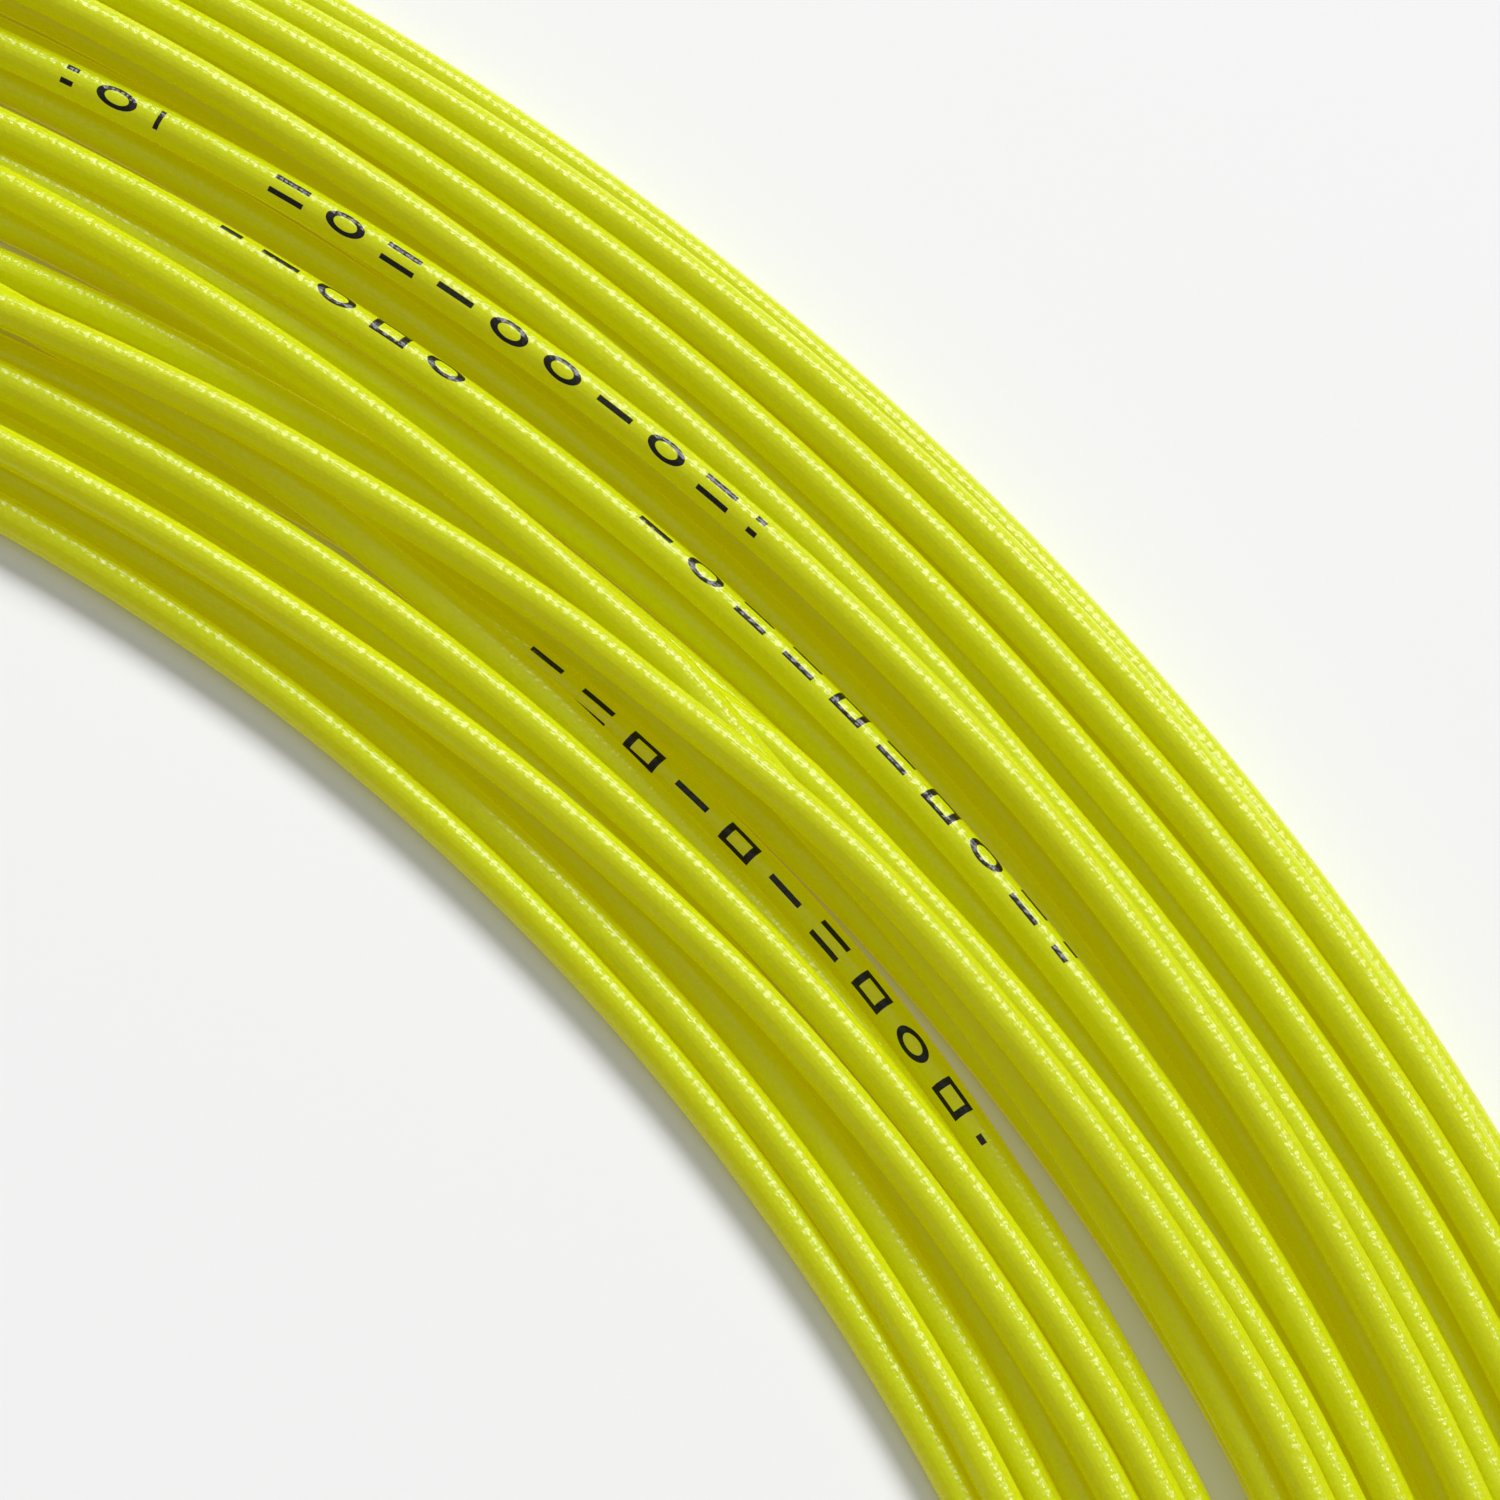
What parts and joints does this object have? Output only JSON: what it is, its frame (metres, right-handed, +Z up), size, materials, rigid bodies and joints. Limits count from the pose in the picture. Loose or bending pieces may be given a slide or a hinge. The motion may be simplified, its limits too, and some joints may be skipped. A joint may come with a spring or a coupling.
{
  "type": "racket string coil",
  "caption": "Loose flat ring of thin coated racket string wound on itself, its two ends wrapped round the bundle to hold it; lies flat on a table.",
  "frame": {"origin": "centre of the ring, on the flat face that it rests on", "axes": "+Z up along the ring's axis; the two bindings lie opposite each other at 132 and 312 degrees from +X"},
  "size_m": [0.1122, 0.1122, 0.0054],
  "materials": {
    "string": "smooth translucent coating over a fine braid, gloss"
  },
  "bodies": {
    "root": {"inner_turns": "string", "outer_turns": "string", "start_end_wraps": "string", "start_end_tail": "string", "finish_end_wraps": "string", "finish_end_tail": "string"}
  },
  "joints": []
}
